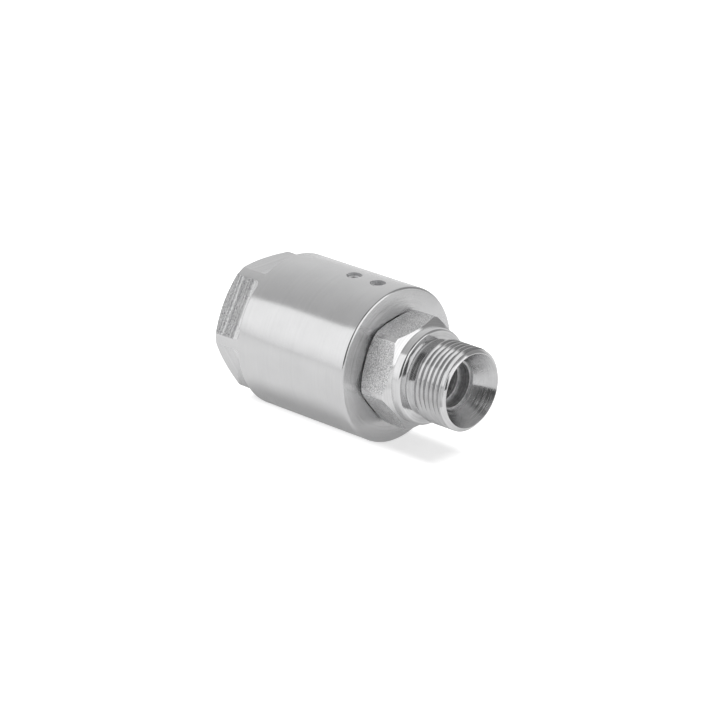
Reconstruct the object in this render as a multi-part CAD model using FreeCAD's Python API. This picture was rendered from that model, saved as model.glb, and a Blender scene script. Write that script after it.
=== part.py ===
import FreeCAD, Part
import math
import os

# Hydraulic rotary union: a housing with a female port, and a stem with a male end that turns
# in it on two rows of loose balls. All sizes are in millimetres. The origin is the centre of
# the port's mouth, +X runs along the axis to the male end, and +Z points to the filling screws.

# Housing, outside. Its length follows from the stack of seals and races inside.
body_d = 50.0
bearing_wall = 10.9
body_front_chamfer = 0.5
body_rear_chamfer = 0.8
wrench_flats = 41.0
wrench_corner_d = 45.6
wrench_length = 13.3
wrench_run_out_r = 3.2
wrench_face_d = 40.4
bevel_angle = 30.0

# G 3/4 pipe thread, drawn as plain cylinders at its major diameter
pipe_thread_d = 26.44
port_depth = 17.0
port_countersink = 0.4
port_web = 3.5
port_flow_d = 14.0

# Stem, outside: hexagon, collar, neck and male end with its 60 degree cone
hex_gap = 0.4
hex_flats = 32.0
hex_corner_d = 36.0
hex_length = 9.6
hex_rear_face_d = 32.6
hex_turn = 9.5
collar_d = 30.7
collar_length = 3.2
collar_chamfer = 0.5
male_length = 16.0
neck_d = 24.2
neck_length = 3.2
neck_run_out = 1.0
male_chamfer = 1.2

# Stem, inside
cone_angle = 60.0
cone_mouth_d = 23.5
cone_root_d = 15.8
cone_land = 0.9
stem_counterbore_d = 14.6
stem_counterbore_end = 11.8
stem_flow_d = 13.0
tail_chamfer = 0.6

# Shaft and its running clearances
seal_shaft_d = 22.0
running_clearance = 0.1
shoulder_gap = 0.3
shoulder_land = 1.1
mouth_chamfer = 0.5

# Ball races with 45 degree flanks
ball_d = 4.0
ball_clearance = 0.1
race_pitch = 10.0
rear_race_land = 0.48
front_race_land = 1.28

# Filling holes, their hexagon socket screws and the plugs that close the race
fill_screw_d = 5.0
fill_screw_length = 5.0
fill_thread_clearance = 0.05
fill_passage_d = 4.2
rear_screw_recess = 0.9
front_screw_recess = 1.5
screw_chamfer = 0.4
socket_flats = 2.5
socket_depth = 2.2
plug_clearance = 0.05

# Thrust washer, seals and their glands in the housing
washer_thickness = 1.5
washer_clearance = 0.1
washer_flow_clearance = 1.0
gland_land = 1.1
gland_end_float = 0.1
ring_clearance = 0.05
guide_ring_width = 2.5
guide_ring_thickness = 1.5
slide_ring_width = 3.0
slide_ring_thickness = 1.2
energiser_section = 2.1
second_ring_section = 2.1
backup_ring_width = 1.1
wiper_front_wall = 1.6
wiper_width = 2.6
wiper_thickness = 2.2
wiper_lip = 0.9

# How far a cutting solid stands past the surface that it cuts
cut_margin = 1.0

# Radii that follow from the sizes above
thread_r = pipe_thread_d / 2
seal_shaft_r = seal_shaft_d / 2
seal_bore_r = seal_shaft_r + running_clearance
body_r = body_d / 2
bearing_bore_r = body_r - bearing_wall
journal_r = bearing_bore_r - running_clearance
pitch_r = journal_r + running_clearance / 2
race_r = ball_d / 2 + ball_clearance
race_half_width = race_r * math.sqrt(2) - running_clearance / 2
ball_count = int(math.pi / math.asin(ball_d / 2 / pitch_r))
ring_in_r = seal_shaft_r + ring_clearance
guide_out_r = ring_in_r + guide_ring_thickness
slide_out_r = ring_in_r + slide_ring_thickness
energiser_out_r = slide_out_r + ring_clearance + energiser_section
second_out_r = ring_in_r + second_ring_section
wiper_in_r = journal_r + ring_clearance
wiper_out_r = wiper_in_r + wiper_thickness

# Stations along the axis, stacked from the port's mouth to the male end
shoulder_x = wrench_length
cavity_x = port_depth + port_web
tail_x = cavity_x + washer_thickness + washer_clearance
guide_x = tail_x + gland_land
slide_x = guide_x + guide_ring_width + 2 * gland_end_float + gland_land
second_x = slide_x + slide_ring_width + 2 * gland_end_float + gland_land
second_width = second_ring_section + 2 * backup_ring_width
bearing_x = second_x + second_width + 4 * gland_end_float + shoulder_land
rear_race_x = bearing_x + rear_race_land + race_half_width
front_race_x = rear_race_x + race_pitch
wiper_x = front_race_x + race_half_width + front_race_land
front_x = wiper_x + wiper_width + gland_end_float + wiper_front_wall
hex_x = front_x + hex_gap
hex_front_x = hex_x + hex_length
collar_x = hex_front_x + (hex_corner_d - collar_d) / 2 * math.tan(math.radians(bevel_angle))
collar_face_x = collar_x + collar_length
end_x = collar_face_x + male_length

race_xs = {"rear": rear_race_x, "front": front_race_x}
screw_tops = {"rear": body_r - rear_screw_recess, "front": body_r - front_screw_recess}

axis_point = FreeCAD.Vector(0, 0, 0)
along = FreeCAD.Vector(1, 0, 0)
upward = FreeCAD.Vector(0, 0, 1)


def turned(points):
    """A solid turned about the X axis from (x, r) corners."""
    corners = [FreeCAD.Vector(x, 0, r) for x, r in points]
    profile = Part.Face(Part.makePolygon(corners + corners[:1]))
    return profile.revolve(axis_point, along, 360)


def ring(x, width, inner_r, outer_r):
    return turned([(x, inner_r), (x + width, inner_r), (x + width, outer_r), (x, outer_r)])


def groove(x, width, mouth_r, floor_r):
    """Corners of a square groove in a bore or shaft profile."""
    return [(x, mouth_r), (x, floor_r), (x + width, floor_r), (x + width, mouth_r)]


def race(x, surface_r, side):
    """Corners of a ball race cut in a bore (side 1) or a shaft (side -1)."""
    flat = race_r * (math.sqrt(2) - 1)
    root_r = pitch_r + side * race_r
    return [(x - race_half_width, surface_r), (x - flat, root_r),
            (x + flat, root_r), (x + race_half_width, surface_r)]


def hexagon(x, length, flats, turn):
    """A hexagonal prism along X. At turn 0 one flat faces +Z."""
    corner_r = flats / 2 / math.cos(math.pi / 6)
    angles = [math.radians(turn + 60 * k) for k in range(6)]
    corners = [FreeCAD.Vector(x, corner_r * math.cos(a), corner_r * math.sin(a)) for a in angles]
    return Part.Face(Part.makePolygon(corners + corners[:1])).extrude(along * length)


def radial_cylinder(x, diameter, low_r, high_r):
    return Part.makeCylinder(diameter / 2, high_r - low_r, FreeCAD.Vector(x, 0, low_r), upward)


def bevel_length(outer_d, inner_d):
    """Axial length of the hexagon's bevel between two diameters."""
    return (outer_d - inner_d) / 2 * math.tan(math.radians(bevel_angle))


def housing_blank():
    """The housing as it comes off the lathe, before its flats are milled."""
    corner_r = wrench_corner_d / 2
    return turned([
        (0, 0),
        (0, wrench_face_d / 2),
        (bevel_length(wrench_corner_d, wrench_face_d), corner_r),
        (shoulder_x, corner_r),
        (shoulder_x, body_r - body_rear_chamfer),
        (shoulder_x + body_rear_chamfer, body_r),
        (front_x - body_front_chamfer, body_r),
        (front_x, body_r - body_front_chamfer),
        (front_x, 0),
    ])


def flat_cutter():
    """What the end mill removes over one flat, with its round run-out at the shoulder."""
    low = wrench_flats / 2
    tall = body_r - low + cut_margin
    cutter = Part.makeBox(
        shoulder_x + cut_margin, 2 * body_r, tall, FreeCAD.Vector(-cut_margin, -body_r, low))
    run_out = [
        edge for edge in cutter.Edges
        if edge.BoundBox.XMin > shoulder_x - 0.01 and edge.BoundBox.ZMax < low + 0.01
    ]
    return cutter.makeFillet(min(wrench_run_out_r, 0.95 * tall), run_out)


def cavity():
    """The stepped bore that holds the washer, the seals and the outer races."""
    glands = groove(guide_x, guide_ring_width + 2 * gland_end_float, seal_bore_r,
                    guide_out_r + ring_clearance)
    glands += groove(slide_x, slide_ring_width + 2 * gland_end_float, seal_bore_r,
                     energiser_out_r + ring_clearance)
    glands += groove(second_x, second_width + 4 * gland_end_float, seal_bore_r,
                     second_out_r + ring_clearance)
    races = race(rear_race_x, bearing_bore_r, 1) + race(front_race_x, bearing_bore_r, 1)
    wiper_gland = groove(wiper_x, wiper_width + gland_end_float, bearing_bore_r,
                         wiper_out_r + ring_clearance)
    return turned(
        [(cavity_x, 0), (cavity_x, seal_bore_r)] + glands
        + [(bearing_x, seal_bore_r), (bearing_x, bearing_bore_r)] + races + wiper_gland
        + [(front_x - mouth_chamfer, bearing_bore_r), (front_x, bearing_bore_r + mouth_chamfer),
           (front_x, 0)])


def port():
    """The female port: countersink, thread and the flow hole through the web."""
    return turned([
        (0, 0), (0, thread_r + port_countersink), (port_countersink, thread_r),
        (port_depth, thread_r), (port_depth, port_flow_d / 2), (cavity_x, port_flow_d / 2),
        (cavity_x, 0),
    ])


def fill_hole(row):
    """A tapped hole over one race, with the narrower passage that the balls drop through."""
    x = race_xs[row]
    seat_r = screw_tops[row] - fill_screw_length
    tapped = radial_cylinder(x, fill_screw_d, seat_r, body_r + cut_margin)
    return tapped.fuse(radial_cylinder(x, fill_passage_d, pitch_r, seat_r))


def housing():
    body = housing_blank()
    for k in range(6):
        cutter = flat_cutter()
        cutter.rotate(axis_point, along, 60 * k)
        body = body.cut(cutter)
    body = body.cut(cavity()).cut(port())
    for row in race_xs:
        body = body.cut(fill_hole(row))
    return body


def stem_outside():
    races = race(rear_race_x, journal_r, -1) + race(front_race_x, journal_r, -1)
    neck_end = collar_face_x + neck_length
    return turned(
        [(tail_x, 0), (tail_x, seal_shaft_r - tail_chamfer), (tail_x + tail_chamfer, seal_shaft_r),
         (bearing_x + shoulder_gap, seal_shaft_r), (bearing_x + shoulder_gap, journal_r)]
        + races
        + [(hex_x, journal_r), (hex_x, hex_rear_face_d / 2),
           (hex_x + bevel_length(hex_corner_d, hex_rear_face_d), hex_corner_d / 2),
           (hex_front_x, hex_corner_d / 2), (collar_x, collar_d / 2),
           (collar_face_x - collar_chamfer, collar_d / 2),
           (collar_face_x, collar_d / 2 - collar_chamfer),
           (collar_face_x, neck_d / 2), (neck_end, neck_d / 2),
           (neck_end + neck_run_out, thread_r), (end_x - male_chamfer, thread_r),
           (end_x, thread_r - male_chamfer), (end_x, 0)])


def stem_bore():
    """Cone seat, its short land, the counterbore and the flow bore."""
    root_x = end_x - (cone_mouth_d - cone_root_d) / 2 / math.tan(math.radians(cone_angle / 2))
    step_x = root_x - cone_land
    narrow_x = end_x - stem_counterbore_end
    return turned([
        (tail_x, 0), (tail_x, stem_flow_d / 2), (narrow_x, stem_flow_d / 2),
        (narrow_x, stem_counterbore_d / 2), (step_x, stem_counterbore_d / 2),
        (step_x, cone_root_d / 2), (root_x, cone_root_d / 2),
        (end_x, cone_mouth_d / 2), (end_x, 0),
    ])


def stem():
    length = collar_x - hex_x
    around = ring(hex_x, length, 0, hex_corner_d / 2 + cut_margin)
    milled_away = around.cut(hexagon(hex_x, length, hex_flats, hex_turn))
    collar_core = ring(hex_x, length, 0, collar_d / 2)
    return stem_outside().cut(milled_away.cut(collar_core)).cut(stem_bore())


def faceted_ball(x, angle):
    """A race ball as 26 flats whose corners all lie on its sphere."""
    edge = 1 + math.sqrt(2)
    corner_distance = math.sqrt(2 + edge * edge)
    square = ball_d / 2 * edge / corner_distance
    triangle = ball_d / 2 * (2 + edge) / math.sqrt(3) / corner_distance
    ball = Part.makeBox(ball_d, ball_d, ball_d, FreeCAD.Vector(1, 1, 1) * (-ball_d / 2))
    directions = [(i, j, k) for i in (-1, 0, 1) for j in (-1, 0, 1) for k in (-1, 0, 1)]
    for direction in directions[:directions.index((0, 0, 0))]:
        height = triangle if 0 not in direction else square
        slab = Part.makeBox(
            2 * ball_d, 2 * ball_d, 2 * height, FreeCAD.Vector(-ball_d, -ball_d, -height))
        tilt = FreeCAD.Rotation(upward, FreeCAD.Vector(*direction))
        slab.Placement = FreeCAD.Placement(axis_point, tilt).multiply(slab.Placement)
        ball = ball.common(slab)
    ball.translate(FreeCAD.Vector(x, 0, pitch_r))
    ball.rotate(axis_point, along, angle)
    return ball


def ball_row(row):
    """One row of balls, by name, the first one under its filling hole."""
    return {
        f"{row}_ball_{k + 1:02d}": faceted_ball(race_xs[row], 360 * k / ball_count)
        for k in range(ball_count)
    }


def fill_screw(row):
    """A flat point screw with a hexagon socket."""
    x = race_xs[row]
    top = screw_tops[row]
    low = top - fill_screw_length
    radius = fill_screw_d / 2 - fill_thread_clearance
    corners = [
        (0, low), (radius - screw_chamfer, low), (radius, low + screw_chamfer),
        (radius, top - screw_chamfer), (radius - screw_chamfer, top), (0, top),
    ]
    points = [FreeCAD.Vector(x + r, 0, z) for r, z in corners]
    blank = Part.Face(Part.makePolygon(points + points[:1])).revolve(
        FreeCAD.Vector(x, 0, 0), upward, 360)
    socket = hexagon(0, socket_depth + cut_margin, socket_flats, 0)
    socket.rotate(axis_point, FreeCAD.Vector(0, 1, 0), -90)
    socket.translate(FreeCAD.Vector(x, 0, top - socket_depth))
    return blank.cut(socket)


def race_plug(row):
    """The pin under a filling screw, whose foot carries the missing piece of the race."""
    diameter = fill_passage_d - 2 * plug_clearance
    blank = radial_cylinder(
        race_xs[row], diameter, pitch_r, screw_tops[row] - fill_screw_length)
    return blank.cut(cavity())


def wiper():
    """The dust wiper, with a lip that leans on the stem towards the front."""
    lip_x = wiper_x + wiper_width
    heel = wiper_in_r + wiper_lip
    return turned([
        (wiper_x, heel), (lip_x - wiper_lip, wiper_in_r), (lip_x, wiper_in_r),
        (lip_x - wiper_lip / 2, heel), (lip_x, heel + wiper_lip / 2), (lip_x, wiper_out_r),
        (wiper_x, wiper_out_r),
    ])


def seal_rings():
    slide_at = slide_x + gland_end_float
    energiser_at = slide_at + (slide_ring_width - energiser_section) / 2
    rear_backup_at = second_x + gland_end_float
    second_ring_at = rear_backup_at + backup_ring_width + gland_end_float
    front_backup_at = second_ring_at + second_ring_section + gland_end_float
    return {
        "guide_ring": ring(guide_x + gland_end_float, guide_ring_width, ring_in_r, guide_out_r),
        "pressure_slide_ring": ring(slide_at, slide_ring_width, ring_in_r, slide_out_r),
        "energiser_ring": ring(
            energiser_at, energiser_section, slide_out_r + ring_clearance, energiser_out_r),
        "rear_backup_ring": ring(rear_backup_at, backup_ring_width, ring_in_r, second_out_r),
        "second_seal_ring": ring(
            second_ring_at, second_ring_section, ring_in_r, second_out_r),
        "front_backup_ring": ring(front_backup_at, backup_ring_width, ring_in_r, second_out_r),
        "dust_wiper": wiper(),
    }


def thrust_washer():
    outer_r = seal_shaft_r - ring_clearance
    inner_r = port_flow_d / 2 + washer_flow_clearance
    return ring(cavity_x, washer_thickness, inner_r, outer_r)


def parts():
    pieces = {"housing": housing(), "stem": stem(), "thrust_washer": thrust_washer()}
    pieces.update(seal_rings())
    for row in race_xs:
        pieces[f"{row}_fill_screw"] = fill_screw(row)
        pieces[f"{row}_race_plug"] = race_plug(row)
        pieces.update(ball_row(row))
    return pieces


os.makedirs("parts", exist_ok=True)
for name, shape in parts().items():
    shape.exportStep(f"parts/{name}.step")
    print(f"{name}: {shape.Volume:.1f} mm3, {len(shape.Solids)} solid, valid {shape.isValid()}")
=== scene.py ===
import math

import bmesh
import bpy
from mathutils import Matrix, Vector


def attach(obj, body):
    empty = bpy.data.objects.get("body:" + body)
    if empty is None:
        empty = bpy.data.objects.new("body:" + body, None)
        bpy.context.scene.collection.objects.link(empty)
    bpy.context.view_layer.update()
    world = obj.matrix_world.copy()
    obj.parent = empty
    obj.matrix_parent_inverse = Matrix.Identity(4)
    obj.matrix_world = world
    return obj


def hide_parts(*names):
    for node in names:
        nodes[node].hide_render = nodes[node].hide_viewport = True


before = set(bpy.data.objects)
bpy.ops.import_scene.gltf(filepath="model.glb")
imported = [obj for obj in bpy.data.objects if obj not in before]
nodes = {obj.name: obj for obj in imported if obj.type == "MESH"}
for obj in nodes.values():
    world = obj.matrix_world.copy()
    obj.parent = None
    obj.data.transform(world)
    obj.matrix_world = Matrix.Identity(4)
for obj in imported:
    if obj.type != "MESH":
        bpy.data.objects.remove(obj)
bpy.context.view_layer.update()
print("frame loaded:", len(nodes), "pieces")

# Sizes are in millimetres until they meet Blender, which works in metres.
mm = 0.001
roundSteps = 192                  # facets round the housing and the stem
onCorner = 1e-4                   # a vertex this near to a corner stands on it
slack = 0.01                      # allowed where vertices and faces are picked by their place
mergeReach = 1e-7                 # in metres
raceAt = {"rear": 40.5, "front": 50.5}   # the two ball races along the axis


def deselectAll():
    if bpy.context.object and bpy.context.object.mode != "OBJECT":
        bpy.ops.object.mode_set(mode="OBJECT")
    bpy.ops.object.select_all(action="DESELECT")


def makeActive(piece):
    deselectAll()
    piece.select_set(True)
    bpy.context.view_layer.objects.active = piece


def named(piece, title):
    piece.name = piece.data.name = title
    return piece


def selectVerts(piece, wanted):
    mesh = bmesh.from_edit_mesh(piece.data)
    bpy.ops.mesh.select_all(action="DESELECT")
    bpy.ops.mesh.select_mode(type="VERT")
    for vert in mesh.verts:
        if wanted(vert.co / mm):
            vert.select = True
    mesh.select_flush(True)
    bmesh.update_edit_mesh(piece.data)


def drawProfile(title, corners):
    # corners are (along, radius) or (along, radius, rounding), drawn in the XZ plane
    deselectAll()
    bpy.ops.mesh.primitive_plane_add(size=mm)
    piece = named(bpy.context.object, title)
    bpy.ops.object.mode_set(mode="EDIT")
    bpy.ops.mesh.select_all(action="SELECT")
    bpy.ops.mesh.merge(type="CENTER")
    bpy.ops.transform.translate(value=(corners[0][0] * mm, 0, corners[0][1] * mm))
    for here, there in zip(corners, corners[1:]):
        step = ((there[0] - here[0]) * mm, 0, (there[1] - here[1]) * mm)
        bpy.ops.mesh.extrude_vertices_move(TRANSFORM_OT_translate={"value": step})
    return piece


def closeProfile(piece, corners):
    ends = [Vector((corners[k][0], 0, corners[k][1])) for k in (0, -1)]
    selectVerts(piece, lambda co: min((co - end).length for end in ends) < onCorner)
    bpy.ops.mesh.edge_face_add()


def roundCorners(piece, corners, segments):
    # before this the profile's corners are the only vertices, so each is found by its place
    for rounding in sorted({c[2] for c in corners if len(c) > 2}, reverse=True):
        places = [Vector((c[0], 0, c[1])) for c in corners if c[2:] == (rounding,)]
        selectVerts(piece, lambda co: min((co - place).length for place in places) < onCorner)
        bpy.ops.mesh.bevel(offset=rounding * mm, segments=segments, affect="VERTICES")


def turned(title, corners, turn=0.0, steps=roundSteps, segments=2):
    # a ring-shaped solid: the closed profile is spun about the X axis
    piece = drawProfile(title, corners)
    closeProfile(piece, corners)
    roundCorners(piece, corners, segments)
    bpy.ops.mesh.select_all(action="SELECT")
    if turn:
        bpy.ops.transform.rotate(value=math.radians(turn), orient_axis="X", center_override=(0, 0, 0))
    bpy.ops.mesh.spin(steps=steps, angle=2 * math.pi, center=(0, 0, 0), axis=(1, 0, 0))
    bpy.ops.mesh.select_all(action="SELECT")
    bpy.ops.mesh.remove_doubles(threshold=mergeReach)
    bpy.ops.mesh.normals_make_consistent(inside=False)
    bpy.ops.object.mode_set(mode="OBJECT")
    return piece


def addModifier(piece, kind, **settings):
    makeActive(piece)
    modifier = piece.modifiers.new(kind.lower(), kind)
    for key, value in settings.items():
        setattr(modifier, key, value)
    bpy.ops.object.modifier_apply(modifier=modifier.name)


def carve(piece, cutter):
    addModifier(piece, "BOOLEAN", operation="DIFFERENCE", object=cutter, solver="EXACT")
    bpy.data.objects.remove(cutter)


def applyPlace(piece):
    makeActive(piece)
    bpy.ops.object.transform_apply(location=True, rotation=True, scale=True)
    return piece


def prism(title, start, length, flats, turn):
    # a hexagonal bar along X; at turn 0 its corners point to +Y and -Y
    deselectAll()
    bpy.ops.mesh.primitive_cylinder_add(
        vertices=6, radius=flats / 2 / math.cos(math.pi / 6) * mm, depth=length * mm,
        location=((start + length / 2) * mm, 0, 0), rotation=(0, math.radians(90), 0))
    bar = named(bpy.context.object, title)
    applyPlace(bar)
    bar.data.transform(Matrix.Rotation(math.radians(turn), 4, "X"))
    return bar


# one side of a rounded groove, from its mouth to its root, in shares of the pitch and the depth
grooveSide = [(0.43, -0.08), (0.40, 0.02), (0.35, 0.11), (0.13, 0.86), (0.066, 0.97)]


def threadCutter(title, surface, pitch, depth, start, turns, steps, outward):
    # one groove of a pipe thread, swept along a helix about the X axis
    side = 1 if outward else -1
    groove = [(-x, d) for x, d in grooveSide] + [(0, 1)] + grooveSide[::-1]
    corners = [(start + x * pitch, surface + side * d * depth) for x, d in groove]
    piece = drawProfile(title, corners)
    closeProfile(piece, corners)
    bpy.ops.object.mode_set(mode="OBJECT")
    addModifier(piece, "SCREW", axis="X", angle=2 * math.pi, steps=steps, render_steps=steps,
                screw_offset=pitch * mm, iterations=turns, use_merge_vertices=True,
                merge_threshold=mergeReach)
    bpy.ops.object.mode_set(mode="EDIT")
    bpy.ops.mesh.select_all(action="SELECT")
    bpy.ops.mesh.remove_doubles(threshold=mergeReach)
    bpy.ops.mesh.fill_holes(sides=0)
    bpy.ops.mesh.select_all(action="SELECT")
    bpy.ops.mesh.normals_make_consistent(inside=False)
    bpy.ops.object.mode_set(mode="OBJECT")
    return piece


def smooth(piece, angle=28):
    makeActive(piece)
    bpy.ops.object.shade_smooth_by_angle(angle=math.radians(angle))


housingSizes = {
    "bodyRadius": 25.0,
    "frontChamfer": 0.5,
    "rearChamfer": 0.8,
    "cornerRadius": 22.8,
    "faceRadius": 20.2,
    "bevelLength": 1.501,
    "flats": 41.0,
    "shoulder": 13.3,
    "runOut": 3.2,
    "runOutSteps": 14,
    "millBlock": {"wide": 52.0, "tall": 8.0, "past": 1.0},   # what cuts one flat
    "front": 59.0,
    "mouth": 0.5,
    "bearingBore": 14.1,
    "sealBore": 11.1,
    "cavity": 20.5,
    "portFloor": 17.0,
    "flowHole": 7.0,
    "threadMajor": 13.22,
    "threadMinor": 12.06,
    "threadPitch": 1.814,
    "threadDepth": 1.16,
    "threadFrom": -2.0,           # the groove starts in the air, ahead of the port's face
    "threadTurns": 9,
    "threadSteps": 96,
    "countersink": 0.4,
    "edge": 0.12,
    "frontEdge": 0.3,             # the front chamfer runs into the face in a rounder corner
    "wallRings": (30, 37, 44, 47, 54),   # keep the wall's faces even around the screws
    "wiperGland": (54.7, 57.4, 16.3),
    "races": {"mouth": 2.92, "floor": 0.87, "depth": 16.15},   # half widths, and the radius
    "sealEnd": 37.1,
    "glands": [(36.0, 31.3, 13.2), (30.2, 27.0, 14.45), (25.9, 23.2, 12.6)],
    "threadRelief": (1.9, 2.6),
}


def housingProfile(s):
    edge = s["edge"]
    bore, seal = s["bearingBore"], s["sealBore"]
    outside = [
        (0, s["threadMajor"] + s["countersink"], edge),
        (0, s["faceRadius"], edge),
        (s["bevelLength"], s["cornerRadius"], edge),
        (s["shoulder"], s["cornerRadius"]),
        (s["shoulder"], s["bodyRadius"] - s["rearChamfer"], edge),
        (s["shoulder"] + s["rearChamfer"], s["bodyRadius"], edge),
        *[(x, s["bodyRadius"]) for x in s["wallRings"]],
        (s["front"] - s["frontChamfer"], s["bodyRadius"], edge),
        (s["front"], s["bodyRadius"] - s["frontChamfer"], s["frontEdge"]),
    ]
    mouth = [(s["front"], bore + s["mouth"], edge), (s["front"] - s["mouth"], bore, edge)]
    near, far, deep = s["wiperGland"]
    inside = [(far, bore), (far, deep), (near, deep), (near, bore)]
    r = s["races"]
    for x in (raceAt["front"], raceAt["rear"]):
        inside += [(x + r["mouth"], bore), (x + r["floor"], r["depth"]),
                   (x - r["floor"], r["depth"]), (x - r["mouth"], bore)]
    inside += [(s["sealEnd"], bore), (s["sealEnd"], seal)]
    for far, near, deep in s["glands"]:
        inside += [(far, seal), (far, deep), (near, deep), (near, seal)]
    sink = s["threadMajor"] + s["countersink"] - s["threadMinor"]
    reliefStart, reliefEnd = (s["portFloor"] - length for length in s["threadRelief"])
    port = [
        (s["cavity"], seal), (s["cavity"], s["flowHole"]), (s["portFloor"], s["flowHole"]),
        (s["portFloor"], s["threadMajor"]), (reliefStart, s["threadMajor"]),
        (reliefEnd, s["threadMinor"]), (sink, s["threadMinor"]),
    ]
    return outside + mouth + inside + port


def wrenchCutter(s, k):
    # the end mill's cut over one flat: a block with a round edge at the shoulder
    deselectAll()
    low, block = s["flats"] / 2, s["millBlock"]
    length = s["shoulder"] + block["past"]
    bpy.ops.mesh.primitive_cube_add(
        size=1, location=((s["shoulder"] - length / 2) * mm, 0, (low + block["tall"] / 2) * mm),
        scale=(length * mm, block["wide"] * mm, block["tall"] * mm))
    cutter = applyPlace(named(bpy.context.object, "wrenchCutter"))
    bpy.ops.object.mode_set(mode="EDIT")
    selectVerts(cutter, lambda co: co.x > s["shoulder"] - slack and co.z < low + slack)
    bpy.ops.mesh.bevel(offset=s["runOut"] * mm, segments=s["runOutSteps"], affect="EDGES")
    bpy.ops.object.mode_set(mode="OBJECT")
    cutter.data.transform(Matrix.Rotation(math.radians(60 * k), 4, "X"))
    return cutter


screwSizes = {
    "top": {"rear": 24.1, "front": 23.5},
    "length": 5.0,
    "radius": 2.45,
    "pitch": 0.8,
    "depth": 0.42,
    "threadBefore": 0.9,
    "threadTurns": 9,
    "chamfer": 0.4,
    "socket": 2.5,
    "socketDepth": 2.2,
    "socketOpen": 1.0,            # how far the key's bar stands out while it cuts
    "socketMouth": {"below": 0.32, "narrow": 1.25, "above": 0.1, "wide": 1.67},
    "steps": 64,
    "cutterSteps": 48,
}
fillHoleSizes = {
    "floor": 14.05,
    "passage": 2.1,               # the balls drop in through this
    "thread": 2.5,
    "rim": 24.92,
    "top": 25.4,
    "countersink": 0.48,
    "steps": 48,
}


def standUp(piece, row):
    # a piece drawn along X is turned to Z and set over its race
    piece.data.transform(Matrix.Rotation(math.radians(-90), 4, "Y"))
    piece.data.transform(Matrix.Translation((raceAt[row] * mm, 0, 0)))
    return piece


def fillHoleCutter(s, row):
    seat = screwSizes["top"][row] - screwSizes["length"]
    corners = [(s["floor"], 0), (s["floor"], s["passage"]), (seat, s["passage"]),
               (seat, s["thread"]), (s["rim"], s["thread"]),
               (s["top"], s["thread"] + s["countersink"]), (s["top"], 0)]
    return standUp(turned("fillHoleCutter", corners, steps=s["steps"]), row)


s = housingSizes
housing = turned("housingBody", housingProfile(s))
for k in range(6):
    carve(housing, wrenchCutter(s, k))
print("housing: blank and wrench flats", len(housing.data.polygons), "faces")
for row in raceAt:
    carve(housing, fillHoleCutter(fillHoleSizes, row))
carve(housing, threadCutter(
    "portThreadCutter", s["threadMinor"], s["threadPitch"], s["threadDepth"], s["threadFrom"],
    s["threadTurns"], s["threadSteps"], outward=True))
smooth(housing)
print("housing: filling holes and port thread", len(housing.data.polygons), "faces")


stemSizes = {
    "tail": 22.1,
    "flowBore": 6.5,
    "sealShaft": 11.0,
    "journal": 14.0,
    "shoulder": 37.4,
    "races": {"mouth": 2.87, "floor": 0.87, "depth": 11.95},
    "hex": 59.4,
    "hexRear": 16.3,
    "hexCorner": 18.0,
    "hexFront": 69.0,
    "hexFlats": 32.0,
    "hexTurn": 9.5,
    "hexRing": {"behind": 0.3, "ahead": 0.2, "inner": 15.6, "outer": 20.0, "steps": 48,
                "barBehind": 1.0, "barLength": 13.0},
    "collar": 15.35,
    "collarStart": 70.53,
    "collarFace": 73.73,
    "collarChamfer": 0.5,
    "neck": 12.1,
    "neckLength": 3.2,
    "neckRunOut": 1.0,
    "threadMajor": 13.22,
    "threadPitch": 1.814,
    "threadDepth": 1.1,
    "threadStart": 3.85,
    "threadTurns": 9,
    "threadSteps": 128,
    "end": 89.73,
    "maleChamfer": 1.2,
    "coneMouth": 11.75,
    "coneRoot": 7.9,
    "coneLand": 0.9,
    "counterbore": 7.3,
    "counterboreEnd": 11.8,
    "tailChamfer": 0.6,
    "edge": 0.1,
}


def stemProfile(s):
    edge, end, journal = s["edge"], s["end"], s["journal"]
    coneStart = end - (s["coneMouth"] - s["coneRoot"]) / math.tan(math.radians(30))
    neckEnd = s["collarFace"] + s["neckLength"]
    shaft = [
        (s["tail"], s["flowBore"]), (s["tail"], s["sealShaft"] - s["tailChamfer"], edge),
        (s["tail"] + s["tailChamfer"], s["sealShaft"], edge), (s["shoulder"], s["sealShaft"]),
        (s["shoulder"], journal, edge),
    ]
    races, r = [], s["races"]
    for x in raceAt.values():
        races += [(x - r["mouth"], journal), (x - r["floor"], r["depth"]),
                  (x + r["floor"], r["depth"]), (x + r["mouth"], journal)]
    head = [
        (s["hex"], journal), (s["hex"], s["hexRear"], edge),
        (s["hex"] + (s["hexCorner"] - s["hexRear"]) * math.tan(math.radians(30)), s["hexCorner"]),
        (s["hexFront"], s["hexCorner"]), (s["collarStart"], s["collar"]),
        (s["collarFace"] - s["collarChamfer"], s["collar"], edge),
        (s["collarFace"], s["collar"] - s["collarChamfer"], edge),
        (s["collarFace"], s["neck"], edge), (neckEnd, s["neck"], edge),
        (neckEnd + s["neckRunOut"], s["threadMajor"], edge),
        (end - s["maleChamfer"], s["threadMajor"], edge),
        (end, s["threadMajor"] - s["maleChamfer"], edge),
    ]
    land, step = coneStart - s["coneLand"], end - s["counterboreEnd"]
    bore = [
        (end, s["coneMouth"], edge), (coneStart, s["coneRoot"]), (land, s["coneRoot"]),
        (land, s["counterbore"]), (step, s["counterbore"]), (step, s["flowBore"]),
    ]
    return shaft + races + head + bore


def hexCutter(s):
    # a ring with a hexagonal hole: what it leaves of the blank is the hexagon
    ring = s["hexRing"]
    rear, front = s["hex"] - ring["behind"], s["collarStart"] + ring["ahead"]
    cutter = turned("hexCutter", [(rear, ring["inner"]), (front, ring["inner"]),
                                  (front, ring["outer"]), (rear, ring["outer"])],
                    steps=ring["steps"])
    carve(cutter, prism("hexBar", s["hex"] - ring["barBehind"], ring["barLength"], s["hexFlats"],
                        s["hexTurn"]))
    return cutter


s = stemSizes
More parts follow.
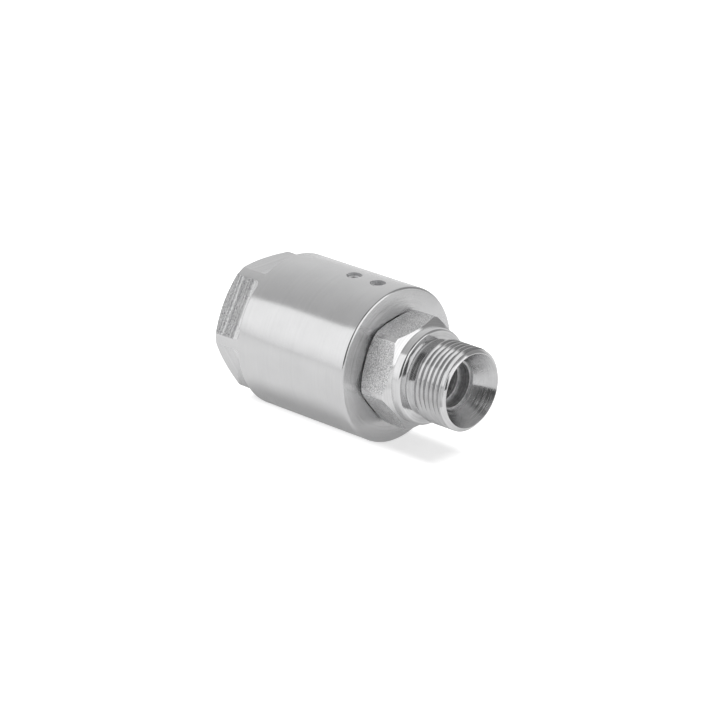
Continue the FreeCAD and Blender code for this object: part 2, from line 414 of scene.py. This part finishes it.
# the turn puts facets' edges on the hexagon's corners
stem = turned("stemBody", stemProfile(s), turn=-30 - s["hexTurn"])
carve(stem, hexCutter(s))
print("stem: blank and hexagon", len(stem.data.polygons), "faces")
carve(stem, threadCutter(
    "maleThreadCutter", s["threadMajor"], s["threadPitch"], s["threadDepth"],
    s["collarFace"] + s["threadStart"], s["threadTurns"], s["threadSteps"], outward=False))
smooth(stem)
print("stem: thread", len(stem.data.polygons), "faces")


def screwPiece(s, row):
    top, mouth = s["top"][row], s["socketMouth"]
    low, radius, chamfer = top - s["length"], s["radius"], s["chamfer"]
    corners = [(low, 0), (low, radius - chamfer), (low + chamfer, radius),
               (top - chamfer, radius), (top, radius - chamfer), (top, 0)]
    screw = turned(row + "Screw", corners, steps=s["steps"])
    carve(screw, threadCutter("screwCutter", radius, s["pitch"], s["depth"],
                              low - s["threadBefore"], s["threadTurns"], s["cutterSteps"],
                              outward=False))
    carve(screw, prism("keyBar", top - s["socketDepth"], s["socketDepth"] + s["socketOpen"],
                       s["socket"], 0))
    below, above = top - mouth["below"], top + mouth["above"]
    carve(screw, turned("socketMouth", [(below, 0), (below, mouth["narrow"]),
                                        (above, mouth["wide"]), (above, 0)],
                        steps=s["cutterSteps"]))
    smooth(standUp(screw, row))
    return screw


screws = {row: screwPiece(screwSizes, row) for row in raceAt}
print("screws: done")


ballSizes = {"radius": 2.0, "pitchRadius": 14.05, "count": 21, "levels": 3}


def firstBall(s):
    deselectAll()
    bpy.ops.mesh.primitive_cube_add(size=2 * s["radius"] * mm)
    ball = named(bpy.context.object, "ballMaster")
    addModifier(ball, "SUBSURF", levels=s["levels"], render_levels=s["levels"])
    addModifier(ball, "CAST", cast_type="SPHERE", factor=1.0, size=s["radius"] * mm,
                use_radius_as_size=False)
    bpy.ops.object.shade_smooth()
    return ball


master = firstBall(ballSizes)
balls = {}
for row, along in raceAt.items():
    for k in range(ballSizes["count"]):
        ball = master.copy()
        ball.data = master.data.copy()
        bpy.context.scene.collection.objects.link(ball)
        named(ball, f"{row}RaceBall{k + 1:02d}")
        place = Matrix.Rotation(2 * math.pi * k / ballSizes["count"], 4, "X") @ Matrix.Translation(
            (along * mm, 0, ballSizes["pitchRadius"] * mm))
        ball.data.transform(place)
        balls[row, k] = ball
bpy.data.objects.remove(master)
print("balls:", len(balls))


ringSizes = {
    "guide": {"x": 23.3, "width": 2.5, "inner": 11.05, "outer": 12.55, "round": 0.2},
    "pressureSlide": {"x": 27.1, "width": 3.0, "inner": 11.05, "outer": 12.25, "round": 0.3},
    "energiser": {"x": 27.55, "width": 2.1, "inner": 12.3, "outer": 14.4, "round": 1.04},
    "rearBackup": {"x": 31.4, "width": 1.1, "inner": 11.05, "outer": 13.15, "round": 0.1},
    "secondSeal": {"x": 32.6, "width": 2.1, "inner": 11.05, "outer": 13.15, "round": 1.04},
    "frontBackup": {"x": 34.8, "width": 1.1, "inner": 11.05, "outer": 13.15, "round": 0.1},
    "thrustWasher": {"x": 20.5, "width": 1.5, "inner": 8.0, "outer": 10.95, "round": 0.2},
}
ringSteps, ringSmooth = 96, 40


def ringPiece(title, s):
    # the two rubber rings are nearly round, so their corners get more segments
    x, end, edge = s["x"], s["x"] + s["width"], s["round"]
    corners = [(x, s["inner"], edge), (end, s["inner"], edge), (end, s["outer"], edge),
               (x, s["outer"], edge)]
    ring = turned(title, corners, steps=ringSteps, segments=6 if edge > 1 else 2)
    smooth(ring, ringSmooth)
    return ring


rings = {key: ringPiece(key + "Ring", sizes) for key, sizes in ringSizes.items()}


wiperSizes = {
    "rear": 54.7,
    "lipStart": 56.4,
    "groove": 56.85,
    "front": 57.3,
    "lip": 14.05,
    "waist": 14.95,
    "rim": 15.4,
    "outer": 16.25,
    "lipRound": 0.15,
    "edge": 0.1,
    "outerRound": 0.2,
}


def wiperPiece(s):
    # a lip that leans on the stem, and a rim, with a groove between them
    corners = [
        (s["rear"], s["waist"]), (s["lipStart"], s["lip"], s["lipRound"]),
        (s["front"], s["lip"], s["edge"]), (s["groove"], s["waist"], s["edge"]),
        (s["front"], s["rim"], s["edge"]), (s["front"], s["outer"], s["outerRound"]),
        (s["rear"], s["outer"], s["outerRound"]),
    ]
    wiper = turned("dustWiperRing", corners, steps=ringSteps)
    smooth(wiper, ringSmooth)
    return wiper


rings["dustWiper"] = wiperPiece(wiperSizes)
print("rings:", len(rings))


class Wire:
    # a node's output that sums and products can be written with
    def __init__(self, bench, socket):
        self.bench, self.socket = bench, socket

    def __add__(self, other):
        return self.bench.math("ADD", self, other)

    def __sub__(self, other):
        return self.bench.math("SUBTRACT", self, other)

    def __rsub__(self, other):
        return self.bench.math("SUBTRACT", other, self)

    def __mul__(self, other):
        return self.bench.math("MULTIPLY", self, other)

    def __pow__(self, other):
        return self.bench.math("POWER", self, other)

    __radd__, __rmul__ = __add__, __mul__

    def ease(self, low, high, bottom=0.0, top=1.0):
        # goes smoothly from bottom to top while this value goes from low to high
        return self.bench.node("ShaderNodeMapRange", {"interpolation_type": "SMOOTHSTEP"},
                               {"Value": self, "From Min": low, "From Max": high,
                                "To Min": bottom, "To Max": top})


class Bench:
    def __init__(self, tree):
        self.tree = tree

    def node(self, kind, settings, inputs, output=0):
        # inputs go by name, or by number where names repeat; output counts those in use
        made = self.tree.nodes.new(kind)
        for key, value in settings.items():
            setattr(made, key, value)
        for key, value in (inputs.items() if isinstance(inputs, dict) else enumerate(inputs)):
            sockets = [k for k in made.inputs if k.name == key and k.enabled]
            socket = made.inputs[key] if isinstance(key, int) else sockets[0]
            if isinstance(value, Wire):
                self.tree.links.new(value.socket, socket)
            else:
                socket.default_value = value
        shown = [k for k in made.outputs if k.enabled]
        return Wire(self, shown[output])

    def math(self, operation, *terms):
        return self.node("ShaderNodeMath", {"operation": operation}, terms)

    def split(self, vector):
        return [self.node("ShaderNodeSeparateXYZ", {}, [vector], output=k) for k in range(3)]

    def place(self):
        # the part's own coordinates, in millimetres, whole and split
        where = self.node("ShaderNodeTexCoord", {}, {}, output=3)
        scaled = self.node("ShaderNodeVectorMath", {"operation": "SCALE"},
                           {0: where, "Scale": 1 / mm})
        return scaled, self.split(scaled)

    def rays(self):
        # 1 for what the viewer sees straight on, and 1 for what a mirror or a glass shows
        straight, glossy, through = [self.node("ShaderNodeLightPath", {}, {}, output=k)
                                     for k in (0, 3, 6)]
        return straight, self.math("MAXIMUM", glossy, through)

    def noise(self, vector, size, detail, roughness=0.5):
        return self.node("ShaderNodeTexNoise", {"noise_dimensions": "3D"},
                         {"Vector": vector, "Scale": 1 / size, "Detail": detail,
                          "Roughness": roughness})

    def lines(self, value, size, detail, roughness=0.5):
        return self.node("ShaderNodeTexNoise", {"noise_dimensions": "1D"},
                         {"W": value, "Scale": 1 / size, "Detail": detail, "Roughness": roughness})

    def blend(self, factor, low, high):
        return self.node("ShaderNodeMix", {"data_type": "RGBA"},
                         {"Factor": factor, "A": (*low, 1), "B": (*high, 1)})

    def bump(self, height, distance):
        return self.node("ShaderNodeBump", {},
                         {"Strength": 1.0, "Distance": distance * mm, "Height": height})


noiseRange = (0.3, 0.7)           # most of a noise's values lie in here


def newFinish(title, colour, roughness, metallic=1.0):
    material = bpy.data.materials.new(title)
    material.use_nodes = True
    surface = material.node_tree.nodes["Principled BSDF"]
    surface.inputs["Base Color"].default_value = (*colour, 1)
    surface.inputs["Roughness"].default_value = roughness
    surface.inputs["Metallic"].default_value = metallic
    return material, Bench(material.node_tree), surface


def plug(surface, socket, wire):
    wire.bench.tree.links.new(wire.socket, surface.inputs[socket])


def steel(level):
    # bare steel is a trace bluer than grey
    return level, level, level + 0.005


# dark and light are the steel's levels, mark and wide the sizes of the rings, patch that of the
# uneven patches; spread is added to the roughness, and the other values shape the bump
turnedLooks = {
    "housingTurned": {"dark": 0.645, "light": 0.72, "roughness": 0.12, "spread": 0.04,
                      "mark": 0.14, "wide": 1.1, "wideShare": 0.02, "height": 0.017,
                      "patch": 9.0, "wander": 0.05},
    "faceTurned": {"dark": 0.66, "light": 0.73, "roughness": 0.12, "spread": 0.05,
                   "mark": 0.07, "wide": 1.1, "wideShare": 0.04, "height": 0.045,
                   "patch": 6.0, "wander": 0.04},
    "neckTurned": {"dark": 0.66, "light": 0.80, "roughness": 0.10, "spread": 0.03,
                   "mark": 0.5, "wide": 1.1, "wideShare": 0.1, "height": 0.006,
                   "patch": 4.0, "wander": 0.04},
    "threadRolled": {"dark": 0.46, "light": 0.62, "roughness": 0.09, "spread": 0.04,
                     "mark": 0.15, "wide": 0.7, "wideShare": 0.3, "height": 0.01,
                     "patch": 5.0, "wander": 0.03},
    "coneTurned": {"dark": 0.50, "light": 0.68, "roughness": 0.08, "spread": 0.04,
                   "mark": 0.07, "wide": 0.7, "wideShare": 0.02, "height": 0.018,
                   "patch": 5.0, "wander": 0.03},
    "stemTurned": {"dark": 0.66, "light": 0.76, "roughness": 0.07, "spread": 0.04,
                   "mark": 0.15, "wide": 0.7, "wideShare": 0.3, "height": 0.014,
                   "patch": 5.0, "wander": 0.03},
    "bored": {"dark": 0.40, "light": 0.96, "roughness": 0.36, "spread": 0.15,
              "mark": 0.4, "wide": 1.0, "wideShare": 0.5, "height": 0.16,
              "patch": 1.2, "wander": 0.1},
}
lathe = {
    "sideways": 0.83,             # how fast the rings go by along a radius, against the axis
    "tone": {"wide": 0.2, "patches": 0.6, "fine": 0.7},
    "toneRange": (0.45, 1.05),
}


def turnedFinish(title, look):
    # fine rings left by the lathe: they run round the axis on walls, faces and cones alike
    material, bench, surface = newFinish(title, steel(look["light"]), look["roughness"])
    place, (x, y, z) = bench.place()
    radius = (y * y + z * z) ** 0.5
    wander = bench.noise(place, look["patch"], detail=1.0) * look["wander"]
    along = x + radius * lathe["sideways"] + wander
    fine = bench.lines(along, look["mark"], detail=1.0)
    wide = bench.lines(along, look["wide"], detail=3.0)
    patches = bench.noise(place, look["patch"], detail=4.0, roughness=0.6)
    share = lathe["tone"]
    tone = wide * share["wide"] + patches * share["patches"] + fine * share["fine"]
    plug(surface, "Base Color", bench.blend(tone.ease(*lathe["toneRange"]), steel(look["dark"]),
                                            steel(look["light"])))
    plug(surface, "Roughness", (patches * 0.6 + wide * 0.4).ease(
        *noiseRange, look["roughness"], look["roughness"] + look["spread"]))
    plug(surface, "Normal", bench.bump(fine + wide * look["wideShare"], look["height"]))
    return material


# a tool mark is where its middle lies along the flat, its half width and how much lighter it is
milledLook = {
    "dark": 0.12,
    "light": 0.80,
    "roughness": 0.26,
    "spread": 0.2,
    "row": 1.0,
    "grain": 0.27,
    "wander": {"size": 3.0, "reach": 0.6},
    "toolMarks": [(3.0, 0.25, 0.2), (4.3, 0.4, 0.25), (11.4, 2.8, 0.42)],
    "markCore": 0.6,              # the share of a mark's half width that is evenly light
    "grainyFlats": (1.1, 2.1, 0.05, 1.0),     # the tones of the darker, grainier flats
    "plainFlats": (0.3, 1.6, 0.72, 0.95),   # and of the lighter, even flats
    "plainFlatBump": 0.15,
    "height": 0.07,
}


def milledFinish(look):
    # rows left by the end mill across each wrench flat, with a grain
    material, bench, surface = newFinish(
        "wrenchFlatMilled", steel(look["light"]), look["roughness"])
    place, (x, y, z) = bench.place()
    wander = bench.noise(place, look["wander"]["size"], detail=2.0) - 0.5
    across = x + wander * look["wander"]["reach"]
    rows = bench.lines(across, look["row"], detail=3.0, roughness=0.7)
    for middle, width, level in look["toolMarks"]:
        core = width * look["markCore"]
        rows = rows + (across.ease(middle - width, middle - core)
                       * across.ease(middle + width, middle + core) * level)
    grain = bench.noise(place, look["grain"], detail=2.0, roughness=0.7)
    # every other flat, by the way it faces, is darker and grainier; the others are lighter and
    # smoother
    around = bench.math("ARCTAN2", 0 - y, z)
    coarse = bench.math("COSINE", around * 3).ease(0.3, -0.3)
    grainyFlats = (rows * 0.8 + grain * 2.2).ease(*look["grainyFlats"])
    plainFlats = (rows + grain).ease(*look["plainFlats"])
    plug(surface, "Base Color", bench.blend(grainyFlats * coarse + plainFlats * (1 - coarse),
                                            steel(look["dark"]), steel(look["light"])))
    plug(surface, "Roughness", grain.ease(
        *noiseRange, look["roughness"], look["roughness"] + look["spread"]))
    plug(surface, "Normal", bench.bump(
        (rows * 0.5 + grain) * coarse.ease(0, 1, look["plainFlatBump"], 1.0), look["height"]))
    return material


barLook = {"dark": 0.36, "light": 0.99, "roughness": 0.36, "spread": 0.2, "grain": 0.27,
           "patch": 4.0, "patchShare": 0.1, "tone": (0.41, 0.68), "height": 0.09}


def barFinish(look):
    # the drawn bar's own skin on the hexagon's flats: even, coarse grain
    material, bench, surface = newFinish("hexagonBarSkin", steel(look["light"]), look["roughness"])
    place = bench.place()[0]
    grain = bench.noise(place, look["grain"], detail=2.0, roughness=0.7)
    patches = bench.noise(place, look["patch"], detail=2.0)
    tone = (grain + patches * look["patchShare"]).ease(*look["tone"])
    plug(surface, "Base Color", bench.blend(tone, steel(look["dark"]), steel(look["light"])))
    plug(surface, "Roughness", grain.ease(
        *noiseRange, look["roughness"], look["roughness"] + look["spread"]))
    plug(surface, "Normal", bench.bump(grain, look["height"]))
    return material


plainLooks = {
    "screw": {"colour": (0.90, 0.90, 0.91), "roughness": 0.4, "metallic": 1.0,
              "grain": 0.3, "depth": 0.01},
    "drilled": {"colour": (0.90, 0.90, 0.91), "roughness": 0.54, "metallic": 1.0,
                "grain": 0.3, "depth": 0.02},
    "ball": {"colour": (0.75, 0.75, 0.77), "roughness": 0.08, "metallic": 1.0,
             "grain": 1.0, "depth": 0.0005},
    "plug": {"colour": (0.62, 0.62, 0.63), "roughness": 0.2, "metallic": 1.0,
             "grain": 0.4, "depth": 0.004},
    "bronze": {"colour": (0.42, 0.3, 0.16), "roughness": 0.5, "metallic": 0.0,
               "grain": 0.3, "depth": 0.01},
    "ptfe": {"colour": (0.9, 0.9, 0.88), "roughness": 0.45, "metallic": 0.0,
             "grain": 0.6, "depth": 0.006},
    "nitrile": {"colour": (0.03, 0.03, 0.03), "roughness": 0.55, "metallic": 0.0,
                "grain": 0.5, "depth": 0.01},
    "polyurethane": {"colour": (0.1, 0.22, 0.35), "roughness": 0.4, "metallic": 0.0,
                     "grain": 0.6, "depth": 0.008},
    "acetal": {"colour": (0.86, 0.86, 0.82), "roughness": 0.4, "metallic": 0.0,
               "grain": 0.5, "depth": 0.006},
}


def grainedFinish(title, look):
    material, bench, surface = newFinish(title, look["colour"], look["roughness"], look["metallic"])
    place = bench.place()[0]
    grain = bench.noise(place, look["grain"], detail=3.0, roughness=0.6)
    patches = bench.noise(place, look["grain"] * 8, detail=2.0)
    darker = tuple(0.8 * level for level in look["colour"])
    plug(surface, "Base Color", bench.blend((grain * 0.6 + patches * 0.6).ease(0.4, 0.8),
                                            darker, look["colour"]))
    plug(surface, "Roughness", grain.ease(*noiseRange, look["roughness"], look["roughness"] * 1.3))
    plug(surface, "Normal", bench.bump(grain, look["depth"]))
    return material


finishes = {title: turnedFinish(title, look) for title, look in turnedLooks.items()}
finishes["milled"] = milledFinish(milledLook)
finishes["bar"] = barFinish(barLook)
for title, look in plainLooks.items():
    finishes[title] = grainedFinish(title + "Finish", look)


def giveFinish(piece, *titles):
    piece.data.materials.clear()
    for title in titles:
        piece.data.materials.append(finishes[title])


def paintFaces(piece, index, wanted):
    for face in piece.data.polygons:
        if wanted(face.center / mm, face.normal):
            face.material_index = index


def nearFlat(flats, turn):
    # true on a hexagon's flats, whose middles lie 30 degrees past its corners
    directions = [Vector((0, math.cos(math.radians(turn + 30 + 60 * k)),
                          math.sin(math.radians(turn + 30 + 60 * k)))) for k in range(6)]
    return lambda centre, normal: any(
        normal.dot(way) > 0.995 and abs(centre.dot(way) - flats / 2) < 0.05 for way in directions)


def offAxis(centre):
    return Vector((0, centre.y, centre.z)).length


def onRunOut(centre):
    # the round end of the mill's cuts, without the turned corners between the flats
    s, radius = housingSizes, offAxis(centre)
    return (s["shoulder"] - s["runOut"] - 0.2 < centre.x < s["shoulder"] + slack
            and s["flats"] / 2 - slack < radius < s["bodyRadius"] - 0.1
            and abs(radius - s["cornerRadius"]) > 2 * slack)


def inFillHole(centre):
    # the two filling holes, down to the bore
    return centre.z > housingSizes["bearingBore"] + 0.1 and any(
        math.hypot(centre.x - x, centre.y) < fillHoleSizes["thread"] + 0.5
        for x in raceAt.values())


giveFinish(housing, "housingTurned", "milled", "faceTurned", "drilled")
onWrench = nearFlat(housingSizes["flats"], 0)
paintFaces(housing, 1, lambda centre, normal: onWrench(centre, normal) or (
    onRunOut(centre) and normal.x > -0.9))
paintFaces(housing, 2, lambda centre, normal: (
    normal.x > 0.95 and centre.x > housingSizes["front"] - 1))
paintFaces(housing, 3, lambda centre, normal: inFillHole(centre) and abs(normal.z) < 0.9)

s = stemSizes
coneRootX = s["end"] - (s["coneMouth"] - s["coneRoot"]) * math.sqrt(3)
neckFrom, neckTo = s["collarFace"] - slack, s["collarFace"] + s["neckLength"]
threadTo = s["end"] - s["maleChamfer"]
outside = s["sealShaft"]          # everything within this radius is bore or cone
giveFinish(stem, "stemTurned", "bar", "bored", "neckTurned", "coneTurned", "threadRolled")
paintFaces(stem, 1, nearFlat(s["hexFlats"], s["hexTurn"]))
paintFaces(stem, 2, lambda centre, normal: (
    centre.x < coneRootX + slack and offAxis(centre) < s["coneRoot"] + slack))
paintFaces(stem, 3, lambda centre, normal: (
    neckFrom < centre.x < neckTo and offAxis(centre) > outside))
paintFaces(stem, 5, lambda centre, normal: (
    neckTo < centre.x < threadTo and offAxis(centre) > outside))
paintFaces(stem, 4, lambda centre, normal: (
    centre.x > coneRootX + slack and abs(normal.x - 0.5) < 0.1
    and offAxis(centre) < s["coneMouth"]))

for screw in screws.values():
    giveFinish(screw, "screw")
for ball in balls.values():
    giveFinish(ball, "ball")
ringFinishes = {
    "guide": "bronze", "pressureSlide": "bronze", "energiser": "nitrile", "rearBackup": "ptfe",
    "secondSeal": "nitrile", "frontBackup": "ptfe", "thrustWasher": "acetal",
    "dustWiper": "polyurethane",
}
for key, title in ringFinishes.items():
    giveFinish(rings[key], title)
for node in nodes.values():
    giveFinish(node, "plug")      # shows on the two race plugs, which stay CAD nodes
print("finishes:", len(finishes))


standsFor = [(housing, "housing", "housing", "housing_steel"), (stem, "stem", "stem", "stem_steel")]
for row, screw in screws.items():
    standsFor.append((screw, row + "_fill_screw", "housing", "screw_steel"))
for (row, k), ball in balls.items():
    standsFor.append((ball, f"{row}_ball_{k + 1:02d}", row + "_balls", "hardened_steel"))
ringNodes = {
    "guide": ("guide_ring", "bronze_ptfe"),
    "pressureSlide": ("pressure_slide_ring", "bronze_ptfe"),
    "energiser": ("energiser_ring", "nitrile"),
    "rearBackup": ("rear_backup_ring", "ptfe"),
    "secondSeal": ("second_seal_ring", "nitrile"),
    "frontBackup": ("front_backup_ring", "ptfe"),
    "thrustWasher": ("thrust_washer", "acetal"),
    "dustWiper": ("dust_wiper", "polyurethane"),
}
for key, (nodeName, slot) in ringNodes.items():
    standsFor.append((rings[key], nodeName, "housing", slot))
for piece, nodeName, body, slot in standsFor:
    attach(piece, body)
    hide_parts(nodeName)
print("pieces that stand for nodes:", len(standsFor))


cameraSizes = {
    "aim": (58.0, 0.0, 0.0),      # the point of the part that the distance is measured from
    "azimuth": 43.54,
    "elevation": 21.80,
    "distance": 0.9398,
    "aside": -0.01095,
    "above": 0.00127,
    "lens": 151.735,
    "sensor": 36,
    "clip": (0.05, 20),
}


def setCamera(s):
    azimuth, elevation = math.radians(s["azimuth"]), math.radians(s["elevation"])
    back = Vector((math.sin(azimuth) * math.cos(elevation),
                   -math.cos(azimuth) * math.cos(elevation), math.sin(elevation)))
    right = Vector((math.cos(azimuth), math.sin(azimuth), 0))
    upward = back.cross(right)
    place = (Vector(s["aim"]) * mm + back * s["distance"] + right * s["aside"]
             + upward * s["above"])
    bpy.ops.object.camera_add()
    camera = bpy.context.object
    camera.name = "productCamera"
    camera.matrix_world = (Matrix.Translation(place)
                           @ Matrix((right, upward, back)).transposed().to_4x4())
    camera.data.lens, camera.data.sensor_width = s["lens"], s["sensor"]
    camera.data.clip_start, camera.data.clip_end = s["clip"]
    bpy.context.scene.camera = camera


deselectAll()
setCamera(cameraSizes)


studio = {
    "room": 0.75,                 # what the metal sees behind the part, where nothing else is
    "diffuse": 0.55,
    "behind": (0.1, -0.25),       # the left box and the dusk come in between these, along X
    "canopy": {"along": (-0.02, 0.26), "up": (-0.04, 0.05), "level": 0.33},   # dark, ahead
    # the canopy is darker still round the camera, within so many degrees of one direction
    "cameraSide": {"towards": (0.50, -0.66, 0.56), "half": 41, "edge": 12, "level": -0.22},
    "frontBox": {"left": (-30, -22), "right": (34, 45), "low": (0.0, 0.08), "high": (0.62, 0.72),
                 "level": 1.02},  # its sides are bearings in degrees, low and high are heights
    "leftBox": {"low": (33, 36.5), "high": (104, 70), "level": 0.40, "keep": 0.3},
    "dusk": {"from": -60, "level": 0.22},   # the room gets darker from here to the left box
    "lamp": {"place": (0.06, 0.0, 0.9), "size": 0.55, "power": 6.0},
}


def setWorld(s):
    world = bpy.data.worlds.new("studio")
    bpy.context.scene.world = world
    world.use_nodes = True
    tree = world.node_tree
    bench = Bench(tree)
    way = bench.node("ShaderNodeTexCoord", {}, {}, output=0)
    x, y, z = bench.split(way)
    # the box on the viewer's left: its edges run along the part, so they are set by the angle
    # about X, and it stops where the part's own front looks
    around = bench.math("ARCTAN2", 0 - y, z) * (180 / math.pi)
    behind = x.ease(*s["behind"])
    box, dusk = s["leftBox"], s["dusk"]
    lit = around.ease(*box["low"])
    seen = (s["room"] + lit * around.ease(*box["high"], box["keep"], 1.0) * behind * box["level"]
            - around.ease(dusk["from"], box["low"][0]) * (1 - lit) * behind * dusk["level"])
    # ahead of the part the room is dark, apart from one low box
    canopy, front = s["canopy"], s["frontBox"]
    ahead = x.ease(*canopy["along"]) * z.ease(*canopy["up"])
    bearing = bench.math("ARCTAN2", y, x) * (180 / math.pi)
    onFront = (bearing.ease(*front["left"]) * (1 - bearing.ease(*front["right"]))
               * z.ease(*front["low"]) * (1 - z.ease(*front["high"])))
    side = s["cameraSide"]
    near = bench.node("ShaderNodeVectorMath", {"operation": "DOT_PRODUCT"},
                      {0: way, 1: tuple(Vector(side["towards"]).normalized())}, output=0)
    inner, outer = (math.cos(math.radians(side["half"] + k * side["edge"] / 2)) for k in (-1, 1))
    room = canopy["level"] + near.ease(outer, inner, 0.0, side["level"]) + onFront * front["level"]
    seen = seen + ahead * (room - seen)
    straight, mirrored = bench.rays()
    level = straight + (1 - straight) * (mirrored * seen + (1 - mirrored) * s["diffuse"])
    tree.links.new(level.socket, tree.nodes["Background"].inputs["Color"])


def setLamp(s):
    deselectAll()
    bpy.ops.object.light_add(type="AREA", location=s["place"])
    lamp = bpy.context.object
    lamp.name = "overheadSoftbox"
    lamp.data.shape, lamp.data.size = "DISK", s["size"]
    lamp.data.energy = s["power"]
    lamp.visible_glossy = False   # the metal mirrors the boxes of the world instead


floorSizes = {
    "size": 6.0,
    "height": -0.025,
    "colour": (0.55, 0.55, 0.55),
    "lift": 0.60,                 # keeps the paper white for the viewer, apart from deep shadow; this is the glow inside the painted shadow patch
    "shade": {"across": (4.5, 12.0), "end": (87.0, 75.5), "start": (-8, 4)},
    "near": 0.24,                 # what the metal sees of it close by and further off, lower close by as a painted shade
    "far": 0.28,
    "middle": (10, -30, 0),       # near and far are told by the distance from here
    "reach": (20, 110),
    "horizon": {"reach": (420, 1500), "level": 0.38},   # makes up for the lamp's fall-off
    "ahead": (118, 140),          # the paper is darker from here on, ahead and to the right
    "right": (-45, -25),
    "darker": 0.8,
}


def setFloor(s):
    deselectAll()
    bpy.ops.mesh.primitive_plane_add(size=s["size"], location=(0, 0, s["height"]))
    floor = named(bpy.context.object, "floor")
    material, bench, surface = newFinish("paperFloor", s["colour"], 0.9, 0.0)
    surface.inputs["Specular IOR Level"].default_value = 0.0
    surface.inputs["Emission Strength"].default_value = 1.0
    place, (x, y, z) = bench.place()
    away = bench.node("ShaderNodeVectorMath", {"operation": "DISTANCE"}, {0: place, 1: s["middle"]})
    # under the part the paper's glow is lowered in a drawn patch, a painted shadow: only inside it
    # does the lamp's real soft shadow stay for the viewer
    shade = s["shade"]
    paintedShadowPatch = (bench.math("ABSOLUTE", y).ease(*reversed(shade["across"]))
               * x.ease(*shade["end"]) * x.ease(*shade["start"]))
    lift = 1 - paintedShadowPatch * (1 - s["lift"])
    beyond = x.ease(*s["ahead"]) * y.ease(*s["right"])
    horizon = s["horizon"]
    # in the metal's reflections the paper is darker near the part, a painted shade, on top of its own
    # lit shading
    reflected = (away.ease(*s["reach"], s["near"], s["far"]) * (1 - beyond * s["darker"])
                 + away.ease(*horizon["reach"], 0.0, horizon["level"]) * (1 - beyond))
    straight, mirrored = bench.rays()
    plug(surface, "Emission Color", straight * lift + mirrored * reflected)
    floor.data.materials.append(material)


setWorld(studio)
setLamp(studio["lamp"])
setFloor(floorSizes)
bpy.context.scene.view_settings.view_transform = "Standard"
